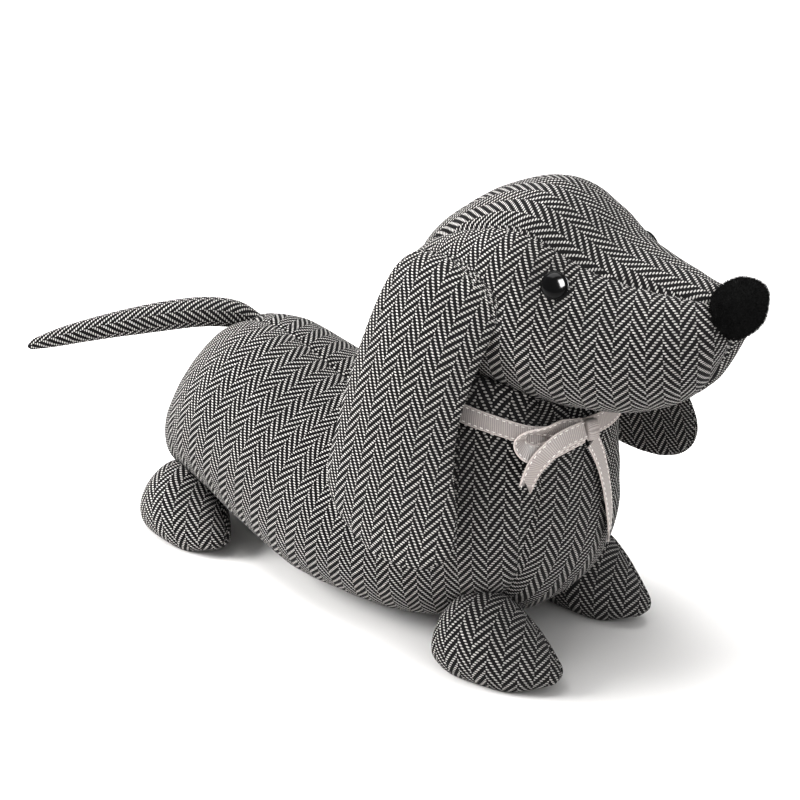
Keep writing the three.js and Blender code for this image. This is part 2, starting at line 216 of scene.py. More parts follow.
KNOT_SQUARENESS = 0.62
NOSE = {"x": 101.5, "z": 223.5, "length": 11.5, "half_width": 17.5, "half_height": 14.2}
NOSE_SQUARENESS = 0.8
EYE_PLACE = {"row": 5.42, "turn": 122}
EYE_DENT = {"depth": 2.3, "reach": 16}
EYE_RIM = 0.6
EYE_CROWN = 1.8
EYE_SOCKET = 0.35

# Each panel is cut so that the cloth's warp runs from its low point to its high one. On a peak the white
# lines of the herringbone rise towards that line, and on a valley they fall towards it. Ease is how far
# sewing turns the warp from one side of a panel to the other, in radians for each metre.
Panel = namedtuple("Panel", "low high kind ease", defaults=(0.0,))
PANELS = {
    "body": [
        Panel((-4.8, -53.7, 68.2), (-6.8, -50.6, 123.7), "valley", 1.3),
        Panel((-4.8, 53.7, 68.2), (-6.8, 50.6, 123.7), "valley", 1.3),
        Panel((23.3, -18.8, 65.8), (26.2, -14.3, 113.5), "peak"),
    ],
    "head": [
        Panel((63.9, -34.3, 186.1), (59.1, -25.4, 226.6), "peak"),
        Panel((63.9, 34.3, 186.1), (59.1, 25.4, 226.6), "peak"),
        Panel((28.9, -18.3, 244.2), (59.3, -16.2, 233.1), "valley"),
    ],
    "ear_right": [
        Panel((-74.6, -83.8, 113.8), (-67.2, -71.7, 169.4), "peak"),
        Panel((-74.6, -78.3, 113.8), (-67.2, -66.2, 169.4), "peak"),
    ],
    "ear_left": [
        Panel((5, 91, 94.2), (-9.6, 73.5, 170), "valley"),
        Panel((5, 85.2, 94.2), (-9.6, 66.5, 170), "valley"),
    ],
    "foot_front_right": [
        Panel((8.1, -69.6, 18.7), (4.6, -63.1, 32.1), "peak"),
        Panel((10, -28, 20.4), (7, -32, 33.6), "peak"),
    ],
    "foot_front_left": [
        Panel((18.1, 28.7, 15.7), (14.5, 34.5, 26), "peak"),
        Panel((10, 64, 20.4), (7, 60, 33.6), "peak"),
    ],
    "foot_back_right": [
        Panel((-219.9, -72.4, 16.2), (-225, -64.7, 29.6), "peak"),
        Panel((-246, -28, 18), (-246, -32, 30), "peak"),
    ],
    "foot_back_left": [
        Panel((-246, 70, 18), (-246, 66, 30), "peak"),
        Panel((-246, 24, 18), (-246, 28, 30), "peak"),
    ],
}

# The camera looks at the middle of the picture from the dog's right front side.
CAMERA_AZIMUTH = 41
CAMERA_ELEVATION = 25
CAMERA_DISTANCE = 1.05
CAMERA_LENS = 82.9
CAMERA_AIM = (-111.72, -0.52, 110)

ORIGIN_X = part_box("body")[0][0] / MM - RUMP_TIP[0]


def linear(code):
    """A colour's sRGB hex code as linear red, green and blue."""
    channels = [int(code[i:i + 2], 16) / 255 for i in (1, 3, 5)]
    return [c / 12.92 if c <= 0.04045 else ((c + 0.055) / 1.055) ** 2.4 for c in channels]


def colour(name, description, code):
    return FloatVectorProperty(name=name, description=description, subtype="COLOR", default=linear(code))


def length(name, description, millimetres):
    return FloatProperty(name=name, description=description, subtype="DISTANCE", unit="LENGTH",
                         default=millimetres * MM, precision=5)


class CoverSettings(bpy.types.PropertyGroup):
    spacing: length("Cover spacing", "Distance between the rings of a cover before it is smoothed", 5.6)
    seam_width: length("Seam width", "Half the width of the crease that a seam makes", 1.3)
    seam_depth: length("Seam depth", "How far a seam sinks below the cover", 1.6)
    pillow_depth: length("Pillow depth", "How far the filling draws the cover in beside a seam", 1.1)
    pillow_reach: length("Pillow reach", "How far that drawing in spreads", 8)
    pucker_height: length("Pucker height", "Height of the small folds that run out from a seam", 1.1)
    pucker_length: length("Pucker length", "Distance from one fold to the next along the seam", 9)
    pucker_reach: length("Pucker reach", "How far the folds run out from the seam", 13)
    lump_depth: length("Lump depth", "Unevenness of the filling", 1.6)
    lump_length: length("Lump length", "Distance from lump to lump", 34)
    clearance: length("Clearance", "Gap kept between two pieces that are sewn together", 0.35)


class WeaveSettings(bpy.types.PropertyGroup):
    end_pitch: length("End pitch", "Distance from one warp thread to the next", 1.0)
    pick_pitch: length("Pick pitch", "Distance from one weft thread to the next", 1.31)
    stripe_ends: IntProperty(name="Stripe ends", description="Warp threads in one stripe", default=8, min=4)
    relief: length("Relief", "Height of a thread where it floats over the others", 0.45)
    warp: colour("Warp", "Colour of the black warp wool", "#151415")
    weft: colour("Weft", "Colour of the off-white weft wool", "#CAC7C4")


class TrimSettings(bpy.types.PropertyGroup):
    ribbon_width: length("Ribbon width", "Width of the grosgrain ribbon", 10)
    ribbon_thickness: length("Ribbon thickness", "Thickness of the ribbon", 0.8)
    rib_pitch: length("Rib pitch", "Distance from one rib of the ribbon to the next", 1.15)
    stitch_length: length("Stitch length", "Length of one saddle stitch", 2.1)
    stitch_pitch: length("Stitch pitch", "Distance from one saddle stitch to the next", 3.4)
    stitch_width: length("Stitch width", "Thickness of the stitching thread", 0.6)
    stitch_inset: length("Stitch inset", "Distance of the stitches from the ribbon's edge", 1.3)
    eye_diameter: length("Eye diameter", "Diameter of a domed eye", 14.5)
    pile_length: length("Pile length", "Length of the nose's plush pile", 2.0)
    pile_count: FloatProperty(name="Pile count", description="Fibres of the pile on each square millimetre",
                              default=3.2, min=0)
    ribbon: colour("Ribbon", "Colour of the ribbon", "#B6ACA8")
    stitch: colour("Stitch", "Colour of the ribbon's stitches", "#F2EEEA")
    nose: colour("Nose", "Colour of the plush nose", "#090909")
    eye: colour("Eye", "Colour of the eyes", "#060607")


def at(point):
    """A place of the tables as a place of the frame, in metres."""
    return Vector((point[0] + ORIGIN_X, point[1], point[2])) * MM


def squared_off(value, power):
    return np.sign(value) * np.abs(value) ** power


def between(rows, place):
    """The table's values at a place between its rows, on a smooth curve through them all."""
    last = len(rows) - 1
    i = min(int(math.floor(place)), last - 1)
    f = place - i
    a, b, c, d = (rows[min(max(k, 0), last)] for k in (i - 1, i, i + 1, i + 2))
    slope = (c - a) / 2
    next_slope = (d - b) / 2
    bend = 3 * (c - b) - 2 * slope - next_slope
    twist = 2 * (b - c) + slope + next_slope
    return b + slope * f + bend * f**2 + twist * f**3


def section_point(section, turn):
    """A point of an oval section: turn 0 is underneath, 90 on the dog's right side and 180 on top."""
    under = np.array([section[UNDER_X], 0, section[UNDER_Z]])
    over = np.array([section[OVER_X], 0, section[OVER_Z]])
    side = math.sin(math.radians(turn))
    down = math.cos(math.radians(turn)) + section[LOW] * side**2
    point = (under + over) / 2 + (under - over) / 2 * down
    point[1] = -section[HALF_WIDTH] * side
    return point


def skin_place(rows, row, turn, lift):
    """The place over a row and a turn of a body's skin, and the way straight out from there."""
    point = section_point(between(rows, row), turn)
    along = section_point(between(rows, row + 0.02), turn) - point
    round_about = section_point(between(rows, row), turn + 0.5) - point
    out = np.cross(along, round_about)
    out /= np.linalg.norm(out)
    return point + out * lift, out


def even_places(rows, point_at, spacing):
    """Places along a table that are about evenly spaced where point_at puts them."""
    fine = np.linspace(0, len(rows) - 1, 30 * (len(rows) - 1) + 1)
    path = np.array([point_at(between(rows, place)) for place in fine])
    run = np.concatenate([[0], np.cumsum(np.linalg.norm(np.diff(path, axis=0), axis=1))])
    count = max(4, round(run[-1] / spacing))
    return np.interp(np.linspace(0, run[-1], count + 1), run, fine)


def panel_turns(edges, counts):
    """Turns of a ring's columns, a share of them in each panel between two seams."""
    return np.concatenate([np.linspace(a, b, n, endpoint=False) for a, b, n in zip(edges, edges[1:], counts)])


def oval_rings(rows, seam_rows, edges, counts):
    """Rings over a table of oval sections, with the columns shared out between the seams."""
    spacing = bpy.context.scene.doorstop_cover.spacing / MM
    rings = []
    for place in even_places(rows, lambda section: section_point(section, 90), spacing):
        turns = panel_turns(edges(np.interp(place, *seam_rows.T)), counts)
        rings.append([section_point(between(rows, place), turn) for turn in turns])
    return rings


def ring_angles(columns):
    return np.radians(np.arange(columns) * 360 / columns)


def object_from(name, bm):
    """An object of a finished bmesh, smooth and with its faces outward."""
    bmesh.ops.recalc_face_normals(bm, faces=bm.faces)
    mesh = bpy.data.meshes.new(name)
    bm.to_mesh(mesh)
    bm.free()
    mesh.shade_smooth()
    obj = bpy.data.objects.new(name, mesh)
    bpy.context.collection.objects.link(obj)
    return obj


def sewn_cover(name, rings, tips, seam_columns):
    """A closed cover over rings of points. Returns its object and the lines of its seams."""
    bm = bmesh.new()
    loops = [[bm.verts.new(at(point)) for point in ring] for ring in rings]
    first, last = (bm.verts.new(at(tip)) for tip in tips)
    sides = len(loops[0])
    for j in range(sides):
        k = (j + 1) % sides
        bm.faces.new((first, loops[0][k], loops[0][j]))
        bm.faces.new((last, loops[-1][j], loops[-1][k]))
        for ring, following in zip(loops, loops[1:]):
            bm.faces.new((ring[j], ring[k], following[k], following[j]))
    lines = [[first] + [ring[column] for ring in loops] + [last] for column in seam_columns]
    for line in lines:
        for a, b in zip(line, line[1:]):
            bm.edges.get((a, b)).seam = True
    seams = [[vertex.co.copy() for vertex in line] for line in lines]
    return object_from(name, bm), seams


def flatten_panels(obj):
    """Lays each panel between the seams out flat, with as little stretch as can be."""
    for other in bpy.context.selected_objects:
        other.select_set(False)
    bpy.context.view_layer.objects.active = obj
    obj.select_set(True)
    bpy.ops.object.mode_set(mode="EDIT")
    bpy.ops.mesh.select_all(action="SELECT")
    bpy.ops.uv.unwrap(method="MINIMUM_STRETCH", fill_holes=False, correct_aspect=False, margin=0.01)
    bpy.ops.object.mode_set(mode="OBJECT")
    obj.data.uv_layers.active.name = "weave"


def panel_of_faces(mesh):
    """The number of the panel that each face belongs to, counted over edges that aren't seams."""
    neighbours = {}
    for face in mesh.polygons:
        for key in face.edge_keys:
            neighbours.setdefault(key, []).append(face.index)
    open_edges = {tuple(sorted(edge.vertices)) for edge in mesh.edges if not edge.use_seam}
    panels = [-1] * len(mesh.polygons)
    count = 0
    for start in range(len(panels)):
        if panels[start] >= 0:
            continue
        panels[start] = count
        waiting = [start]
        while waiting:
            for key in mesh.polygons[waiting.pop()].edge_keys:
                if tuple(sorted(key)) not in open_edges:
                    continue
                for other in neighbours[key]:
                    if panels[other] < 0:
                        panels[other] = count
                        waiting.append(other)
        count += 1
    return np.array(panels)


def skin_tree(mesh):
    return BVHTree.FromPolygons([v.co for v in mesh.vertices], [tuple(p.vertices) for p in mesh.polygons])


def flat_place(mesh, uv, face, point):
    """Where a point near a face lies on its flat panel."""
    corners = np.array([mesh.vertices[i].co for i in face.vertices])
    flat = uv[list(face.loop_indices)]
    slope, *_ = np.linalg.lstsq(corners - corners.mean(0), flat - flat.mean(0), rcond=None)
    return flat.mean(0) + (np.array(point) - corners.mean(0)) @ slope


def lay_weave(obj, lines):
    """Turns, sizes and shifts each flat panel, so that the warp follows its line at real scale."""
    mesh = obj.data
    layer = mesh.uv_layers["weave"]
    uv = np.empty(len(mesh.loops) * 2, dtype=np.float32)
    layer.uv.foreach_get("vector", uv)
    uv = uv.reshape(-1, 2).astype(float)
    panels = panel_of_faces(mesh)
    weave = bpy.context.scene.doorstop_weave
    stripe = weave.stripe_ends * weave.end_pitch
    tree = skin_tree(mesh)
    done = set()
    for low, high, kind, ease in lines:
        low_face = mesh.polygons[tree.find_nearest(at(low))[2]]
        high_face = mesh.polygons[tree.find_nearest(at(high))[2]]
        panel = panels[low_face.index]
        if panels[high_face.index] != panel or panel in done:
            raise RuntimeError(f"{obj.name}: the line from {low} to {high} isn't on a panel of its own")
        done.add(panel)
        members = [mesh.polygons[i] for i in np.flatnonzero(panels == panel)]
        loops = np.array([i for face in members for i in face.loop_indices])
        real = sum(face.area for face in members)
        drawn = 0
        for face in members:
            x, y = uv[list(face.loop_indices)].T
            drawn += abs(np.dot(x, np.roll(y, -1)) - np.dot(y, np.roll(x, -1))) / 2
        start = flat_place(mesh, uv, low_face, at(low))
        way = flat_place(mesh, uv, high_face, at(high)) - start
        warp = way / np.linalg.norm(way) * math.sqrt(real / drawn)
        weft = np.array([warp[1], -warp[0]])
        offset = np.array([stripe if kind == "valley" else 0, 0])
        laid = (uv[loops] - start) @ np.array([weft, warp]).T
        u, v = laid.T
        laid += ease * np.array([-u * v, (u**2 - v**2) / 2]).T
        uv[loops] = laid + offset
    if len(done) != panels.max() + 1:
        raise RuntimeError(f"{obj.name}: {panels.max() + 1} panels, but {len(done)} lines for the weave")
    layer.uv.foreach_set("vector", uv.ravel().astype(np.float32))


def lay_along_tube(obj, columns, seam, peak, runs, radii):
    """Lays a tube's cloth with the warp along it and a peak of the herringbone on one column."""
    mesh = obj.data
    layer = mesh.uv_layers.new(name="weave")
    runs = np.concatenate([np.repeat(runs, columns), [runs[0], runs[-1]]])
    radii = np.concatenate([np.repeat(radii, columns), [0, 0]])
    for face in mesh.polygons:
        turned = [(vertex - seam) % columns for vertex in face.vertices]
        if max(turned) == columns - 1:
            turned = [columns if place == 0 else place for place in turned]
        for loop, vertex, place in zip(face.loop_indices, face.vertices, turned):
            angle = (place - (peak - seam) % columns) * math.tau / columns
            layer.uv[loop].vector = (angle * radii[vertex] * MM, runs[vertex] * MM)


def applied(obj):
    """Applies an object's modifiers to its mesh."""
    graph = bpy.context.evaluated_depsgraph_get()
    mesh = bpy.data.meshes.new_from_object(obj.evaluated_get(graph))
    obj.modifiers.clear()
    old = obj.data
    obj.data = mesh
    mesh.name = obj.name
    bpy.data.meshes.remove(old)


def smoothed(obj, levels=2):
    """Rounds a cover off and makes it fine enough for creases and puckers."""
    surface = obj.modifiers.new("Smooth cover", "SUBSURF")
    surface.levels = levels
    surface.render_levels = levels
    applied(obj)
    obj.data.shade_smooth()


def dense(line, step):
    """Points about a step apart along a line."""
    points = []
    for a, b in zip(line, line[1:]):
        count = max(1, round((b - a).length / step))
        points += [a.lerp(b, i / count) for i in range(count)]
    return points + [line[-1]]


def vectors(source, attribute="co"):
    """A vector of each item of a mesh's list, as rows of an array."""
    values = np.empty(len(source) * 3, dtype=np.float32)
    source.foreach_get(attribute, values)
    return values.reshape(-1, 3).astype(float)


def moved(mesh, places):
    mesh.vertices.foreach_set("co", places.ravel().astype(np.float32))
    mesh.update()


def stuff(obj, seams, seed, pucker=1.0, lumps=1.0, crease=1.0, dents=()):
    """Sinks a cover's seams, puckers the cloth beside them and lets the filling show."""
    cover = bpy.context.scene.doorstop_cover
    mesh = obj.data
    places = vectors(mesh.vertices)
    normals = vectors(mesh.vertex_normals, "vector")
    points = [point for line in seams for point in dense(line, 1 * MM)]
    tree = KDTree(len(points))
    for i, point in enumerate(points):
        tree.insert(point, i)
    tree.balance()
    sink = np.zeros(len(places))
    for i, place in enumerate(places):
        spot = Vector(place)
        lump = noise.noise((spot / cover.lump_length) + Vector((seed, 0, 0)))
        small = noise.noise((spot / cover.lump_length * 2.7) + Vector((0, seed, 0)))
        sink[i] = cover.lump_depth * lumps * (0.1 + 0.6 * lump + 0.25 * small)
        _, index, gap = tree.find(spot)
        run = index * MM / cover.pucker_length
        crest = 0.5 + 0.5 * noise.noise(Vector((run, seed * 3.1, 0)))
        crest += 0.35 * noise.noise(Vector((run * 2.3, seed * 1.7, 5)))
        fade = max(0.0, 1 - gap / cover.pucker_reach) ** 2
        sink[i] += cover.pucker_height * pucker * crest * fade
        sink[i] += crease * cover.pillow_depth * math.exp(-(gap / cover.pillow_reach) ** 2)
        sink[i] += crease * cover.seam_depth * math.exp(-(gap / cover.seam_width) ** 2)
    for centre, flat_radius, reach, depth in dents:
        gap = np.linalg.norm(places - np.array(centre), axis=1)
        slope = np.clip((gap - flat_radius) / (reach - flat_radius), 0, 1)
        dent = (1 - slope) ** 2 * (1 + 2 * slope)
        sink = sink * np.where(gap < flat_radius, 0, slope) + depth * dent
    moved(mesh, places - normals * sink[:, None])


def keep_clear(obj, *neighbours):
    """Moves what lies inside a neighbour, or too close to it, out to its skin."""
    gap = bpy.context.scene.doorstop_cover.clearance
    mesh = obj.data
    places = vectors(mesh.vertices)
    for name in neighbours:
        tree = skin_tree(bpy.data.objects[name].data)
        for i, place in enumerate(places):
            spot, out, _, _ = tree.find_nearest(Vector(place))
            if (Vector(place) - spot).dot(out) < gap:
                places[i] = spot + out * gap
    moved(mesh, places)


def rest_on_floor(obj):
    """Flattens what would sink through the floor."""
    places = vectors(obj.data.vertices)
    places[:, 2] = np.maximum(places[:, 2], 0)
    moved(obj.data, places)


def finish_piece(obj, node, material):
    """Gives a finished piece its material and its place in the frame."""
    obj.data.materials.clear()
    obj.data.materials.append(material)
    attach(obj, "root")
    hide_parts(node)


def sewn_piece(node, rings, tips, seam_columns, seed, fill, neighbours=(), tube=None, **stuffing):
    """One stuffed piece from its rings to its finished cloth."""
    obj, seams = sewn_cover(f"{node}_cloth", rings, tips, seam_columns)
    if tube:
        lay_along_tube(obj, **tube)
    else:
        flatten_panels(obj)
        lay_weave(obj, PANELS[node])
    smoothed(obj)
    stuff(obj, seams, seed, **stuffing)
    keep_clear(obj, *neighbours)
    rest_on_floor(obj)
    finish_piece(obj, node, herringbone_cloth())
    return obj


def add(tree, kind, inputs=None, **settings):
    """Adds a node with its settings, and sets or links its inputs."""
    node = tree.nodes.new(kind)
    for name, value in settings.items():
        setattr(node, name, value)
    for key, value in (inputs or {}).items():
        if isinstance(value, bpy.types.Node):
            value = value.outputs[0]
        if isinstance(value, bpy.types.NodeSocket):
            tree.links.new(value, node.inputs[key])
        else:
            node.inputs[key].default_value = value
    return node


def maths(tree, operation, *values, **settings):
    """Adds a node that does arithmetic on its values."""
    return add(tree, "ShaderNodeMath", dict(enumerate(values)), operation=operation, **settings)


def varied(tree, texture, low, high):
    """Spreads the middle of a noise's range out between two values."""
    ends = {"From Min": 0.3, "From Max": 0.7, "To Min": low, "To Max": high}
    return add(tree, "ShaderNodeMapRange", {"Value": texture.outputs["Fac"], **ends})


def new_material(name, constants):
    """A material whose shader has these constants. Returns the material, its tree and the shader."""
    material = bpy.data.materials.new(name)
    material.use_nodes = True
    tree = material.node_tree
    tree.nodes.clear()
    shader = add(tree, "ShaderNodeBsdfPrincipled", constants)
    add(tree, "ShaderNodeOutputMaterial", {"Surface": shader})
    return material, tree, shader


def float_height(tree, along, across, half_along, half_across):
    """How far a thread stands up where it floats: a rounded bead, nothing outside it."""
    a = maths(tree, "DIVIDE", along, half_along)
    b = maths(tree, "DIVIDE", across, half_across)
    square = maths(tree, "MULTIPLY", a, a)
    both = maths(tree, "MULTIPLY_ADD", b, b, square)
    rest = maths(tree, "SUBTRACT", 1.0, both, use_clamp=True)
    return maths(tree, "SQRT", rest)


def herringbone_cloth():
    """Wool herringbone twill: off-white weft floats, two ends long, on a black warp."""
    if "Wool herringbone twill" in bpy.data.materials:
        return bpy.data.materials["Wool herringbone twill"]
    weave = bpy.context.scene.doorstop_weave
    material, tree, shader = new_material("Wool herringbone twill", {
        "Roughness": 0.95, "Specular IOR Level": 0.08, "Sheen Weight": 0.04, "Sheen Roughness": 0.5,
    })
    flat = add(tree, "ShaderNodeUVMap", uv_map="weave")
    # Hand-finished cloth never lies quite straight: the threads wander by a fraction of a millimetre.
    wander = add(tree, "ShaderNodeTexNoise", {"Vector": flat, "Scale": 45.0, "Detail": 2.0})
    centred = add(tree, "ShaderNodeVectorMath", {0: wander.outputs["Color"], 1: (0.5, 0.5, 0.5)},
                  operation="SUBTRACT")
    shift = add(tree, "ShaderNodeVectorMath", {0: centred, "Scale": 0.0016}, operation="SCALE")
    laid = add(tree, "ShaderNodeVectorMath", {0: flat, 1: shift}, operation="ADD")
    axes = add(tree, "ShaderNodeSeparateXYZ", {0: laid})
    ends = maths(tree, "DIVIDE", axes.outputs["X"], weave.end_pitch)
    picks = maths(tree, "DIVIDE", axes.outputs["Y"], weave.pick_pitch)
    # Each stripe is the mirror of the one beside it, set off by two picks for a clean break between them.
    stripe_ends = float(weave.stripe_ends)
    mirrored = maths(tree, "PINGPONG", ends, stripe_ends)
    stripes = maths(tree, "DIVIDE", ends, stripe_ends)
    stripe = maths(tree, "FLOOR", stripes)
    odd = maths(tree, "PINGPONG", stripe, 1.0)
    offset = maths(tree, "MULTIPLY", odd, 2.0)
    end = maths(tree, "FLOOR", mirrored)
    pick = maths(tree, "FLOOR", picks)
    # In a 2/2 twill each weft thread floats over two ends and each warp thread over two picks.
    weft_sum = maths(tree, "ADD", mirrored, pick)
    weft_run = maths(tree, "ADD", weft_sum, offset)
    weft_turn = maths(tree, "FLOORED_MODULO", weft_run, 4.0)
    weft_along = maths(tree, "SUBTRACT", weft_turn, 1.0)
    pick_part = maths(tree, "FRACT", picks)
    weft_across = maths(tree, "SUBTRACT", pick_part, 0.5)
    weft = float_height(tree, weft_along, weft_across, 0.98, 0.36)
    warp_sum = maths(tree, "ADD", end, picks)
    warp_run = maths(tree, "ADD", warp_sum, offset)
    warp_turn = maths(tree, "FLOORED_MODULO", warp_run, 4.0)
    warp_along = maths(tree, "SUBTRACT", warp_turn, 3.0)
    end_part = maths(tree, "FRACT", mirrored)
    warp_across = maths(tree, "SUBTRACT", end_part, 0.5)
    warp = float_height(tree, warp_along, warp_across, 1.06, 0.46)
    low_warp = maths(tree, "MULTIPLY", warp, 0.7)
    relief = maths(tree, "MAXIMUM", weft, low_warp)
    # Wool fibres cross the threads a few tenths of a millimetre apart.
    fibres = add(tree, "ShaderNodeTexNoise", {"Vector": flat, "Scale": 2600.0, "Detail": 2.0})
    uneven = add(tree, "ShaderNodeTexNoise", {"Vector": flat, "Scale": 320.0, "Detail": 1.0})
    white = add(tree, "ShaderNodeMapRange", {"Value": weft, "From Min": 0.05, "From Max": 0.6},
                interpolation_type="SMOOTHSTEP")
    tone = varied(tree, uneven, 0.72, 1.06)
    spun = varied(tree, fibres, 0.8, 1.1)
    lightness = maths(tree, "MULTIPLY", tone, spun)
    dyed = add(tree, "ShaderNodeVectorMath", {0: tuple(weave.weft), "Scale": lightness}, operation="SCALE")
    base = add(tree, "ShaderNodeMix", {"Factor": white, 6: (*weave.warp, 1), 7: dyed}, data_type="RGBA")
    tree.links.new(base.outputs[2], shader.inputs["Base Color"])
    hairy = maths(tree, "MULTIPLY_ADD", fibres.outputs["Fac"], 0.25, relief)
    bump = add(tree, "ShaderNodeBump", {"Height": hairy, "Strength": 0.55, "Distance": weave.relief})
    tree.links.new(bump.outputs[0], shader.inputs["Normal"])
    return material


def grosgrain():
    """Polyester grosgrain: fine ribs across the ribbon with painted shade between them, a little sheen along
    them, and paler edges.
    """
    if "Grosgrain ribbon" in bpy.data.materials:
        return bpy.data.materials["Grosgrain ribbon"]
    trim = bpy.context.scene.doorstop_trim
    material, tree, shader = new_material("Grosgrain ribbon", {"Roughness": 0.6, "Sheen Weight": 0.2})
    flat = add(tree, "ShaderNodeUVMap", uv_map="weave")
    axes = add(tree, "ShaderNodeSeparateXYZ", {0: flat})
    ribs = maths(tree, "DIVIDE", axes.outputs["Y"], trim.rib_pitch)
    wave = maths(tree, "PINGPONG", ribs, 0.5)
    rib = add(tree, "ShaderNodeMapRange", {"Value": wave, "From Min": 0.05, "From Max": 0.4},
              interpolation_type="SMOOTHSTEP")
    fibres = add(tree, "ShaderNodeTexNoise", {"Vector": flat, "Scale": 1800.0, "Detail": 2.0})
    across = maths(tree, "ABSOLUTE", axes.outputs["X"])
    edge = add(tree, "ShaderNodeMapRange",
               {"Value": across, "From Min": trim.ribbon_width * 0.40, "From Max": trim.ribbon_width * 0.47})
    # Painted shade: the grooves between the ribs are darkened in the ribbon's colour, down to 0.62 of it.
    shade = add(tree, "ShaderNodeMapRange", {"Value": rib, "To Min": 0.62, "To Max": 1.0})
    spun = varied(tree, fibres, 0.92, 1.05)
    lightness = maths(tree, "MULTIPLY", shade, spun)
    cloth = add(tree, "ShaderNodeVectorMath", {0: tuple(trim.ribbon), "Scale": lightness}, operation="SCALE")
    pale = tuple(min(1.0, c * 1.3) for c in trim.ribbon)
    base = add(tree, "ShaderNodeMix", {"Factor": edge, 6: cloth, 7: (*pale, 1)}, data_type="RGBA")
    tree.links.new(base.outputs[2], shader.inputs["Base Color"])
    bump = add(tree, "ShaderNodeBump", {"Height": rib, "Strength": 0.5, "Distance": 0.25 * MM})
    tree.links.new(bump.outputs[0], shader.inputs["Normal"])
    return material


def stitching_thread():
    """Twisted cotton thread, off-white and matt, with its twist as a fine slanted relief."""
    trim = bpy.context.scene.doorstop_trim
    constants = {"Base Color": (*trim.stitch, 1), "Roughness": 0.75}
    material, tree, shader = new_material("Cotton stitching thread", constants)
    place = add(tree, "ShaderNodeTexCoord")
    twist = add(tree, "ShaderNodeTexWave", {"Vector": place.outputs["Object"], "Scale": 900.0},
                bands_direction="DIAGONAL")
    bump = add(tree, "ShaderNodeBump",
               {"Height": twist.outputs["Fac"], "Strength": 0.3, "Distance": 0.1 * MM})
    tree.links.new(bump.outputs[0], shader.inputs["Normal"])
    return material


def nose_plush():
    """Black polyester plush: short soft fibres that swallow the light."""
    trim = bpy.context.scene.doorstop_trim
    constants = {"Roughness": 1.0, "Specular IOR Level": 0.05, "Sheen Weight": 0.03}
    material, tree, shader = new_material("Polyester plush", constants)
    place = add(tree, "ShaderNodeTexCoord")
    tufts = add(tree, "ShaderNodeTexNoise",
                {"Vector": place.outputs["Object"], "Scale": 300.0, "Detail": 3.0})
    shade = varied(tree, tufts, 0.3, 2.6)
    pile = add(tree, "ShaderNodeVectorMath", {0: tuple(trim.nose), "Scale": shade}, operation="SCALE")
    tree.links.new(pile.outputs[0], shader.inputs["Base Color"])
    return material


def eye_plastic():
    """Injection-moulded black acrylic: a polished dome with the faintest orange peel."""
    trim = bpy.context.scene.doorstop_trim
    constants = {"Base Color": (*trim.eye, 1), "IOR": 1.49, "Specular IOR Level": 0.2}
    material, tree, shader = new_material("Moulded black acrylic", constants)
    place = add(tree, "ShaderNodeTexCoord")
    peel = add(tree, "ShaderNodeTexNoise", {"Vector": place.outputs["Object"], "Scale": 500.0, "Detail": 1.0})
    gloss = add(tree, "ShaderNodeMapRange", {"Value": peel.outputs["Fac"], "To Min": 0.1, "To Max": 0.2})
    tree.links.new(gloss.outputs[0], shader.inputs["Roughness"])
    return material


def eye_seat(side):
    """The middle of an eye on the head's skin and the way straight out. side is -1 on the dog's right."""
    point, out = skin_place(HEAD, EYE_PLACE["row"], EYE_PLACE["turn"], 0)
    mirror = np.array([1, -side, 1])
    return np.array(at(point * mirror)), out * mirror


class MakeHead(bpy.types.Operator):
    """Sew the head: two side panels, a gusset over the brow and a seam under the chin"""
    bl_idname = "doorstop.make_head"
    bl_label = "Head"

    def execute(self, context):
        side, gusset = 18, 10
        rings = oval_rings(HEAD, BROW_SEAM, lambda seam: (0, seam, 360 - seam, 360), (side, gusset, side))
        radius = context.scene.doorstop_trim.eye_diameter / 2
        dents = [(eye_seat(way)[0], radius, EYE_DENT["reach"] * MM,
                  EYE_DENT["depth"] * MM) for way in (-1, 1)]
        sewn_piece("head", rings, (SKULL_TIP, MUZZLE_TIP), (0, side, side + gusset), seed=2.3, fill=0.9,
                   dents=dents)
        return {"FINISHED"}


class MakeBody(bpy.types.Operator):
    """Sew the body: two side panels joined along the back, and a gusset under the chest and belly"""
    bl_idname = "doorstop.make_body"
    bl_label = "Body"

    def execute(self, context):
        side, gusset = 30, 12
        rings = oval_rings(BODY, CHEST_SEAM, lambda seam: (seam, 180, 360 - seam, 360 + seam),
                           (side, side, gusset))
        sewn_piece("body", rings, (RUMP_TIP, NECK_TOP), (0, side, 2 * side), seed=7.7, fill=0.9,
                   neighbours=("head_cloth",), pucker=1.3)
        return {"FINISHED"}


class MakeFeet(bpy.types.Operator):
    """Sew the four feet, each of two halves with a seam over the top and under the sole"""
    bl_idname = "doorstop.make_feet"
    bl_label = "Feet"

    def execute(self, context):
        columns = 24
        top_seam = 4
        sole_seam = 18
        angles = ring_angles(columns)
        for number, (node, (x, y, turn)) in enumerate(FEET.items()):
            spread = Matrix.Rotation(math.radians(turn), 3, "Z")

            def place_on_dog(point):
                return Vector((x, y, 0)) + spread @ Vector(point)

            rings = []
            for place in even_places(FOOT, lambda s: np.array([s[FOOT_ALONG], 0, 0]), SMALL_SPACING):
                section = between(FOOT, place)
                middle = (section[FOOT_UNDER] + section[FOOT_OVER]) / 2
                half_height = (section[FOOT_OVER] - section[FOOT_UNDER]) / 2
                rings.append([
                    place_on_dog((section[FOOT_ALONG],
                                  section[FOOT_HALF_WIDTH] * math.cos(a) + section[FOOT_LEAN] * math.sin(a),
                                  middle + half_height * math.sin(a)))
                    for a in angles
                ])
            tips = (place_on_dog(FOOT_HEEL), place_on_dog(FOOT_TOE))
            sewn_piece(node, rings, tips, (top_seam, sole_seam), seed=3.1 + number, fill=0.8,
                       neighbours=("body_cloth",), pucker=0.9, lumps=0.5, crease=1.2)
        return {"FINISHED"}


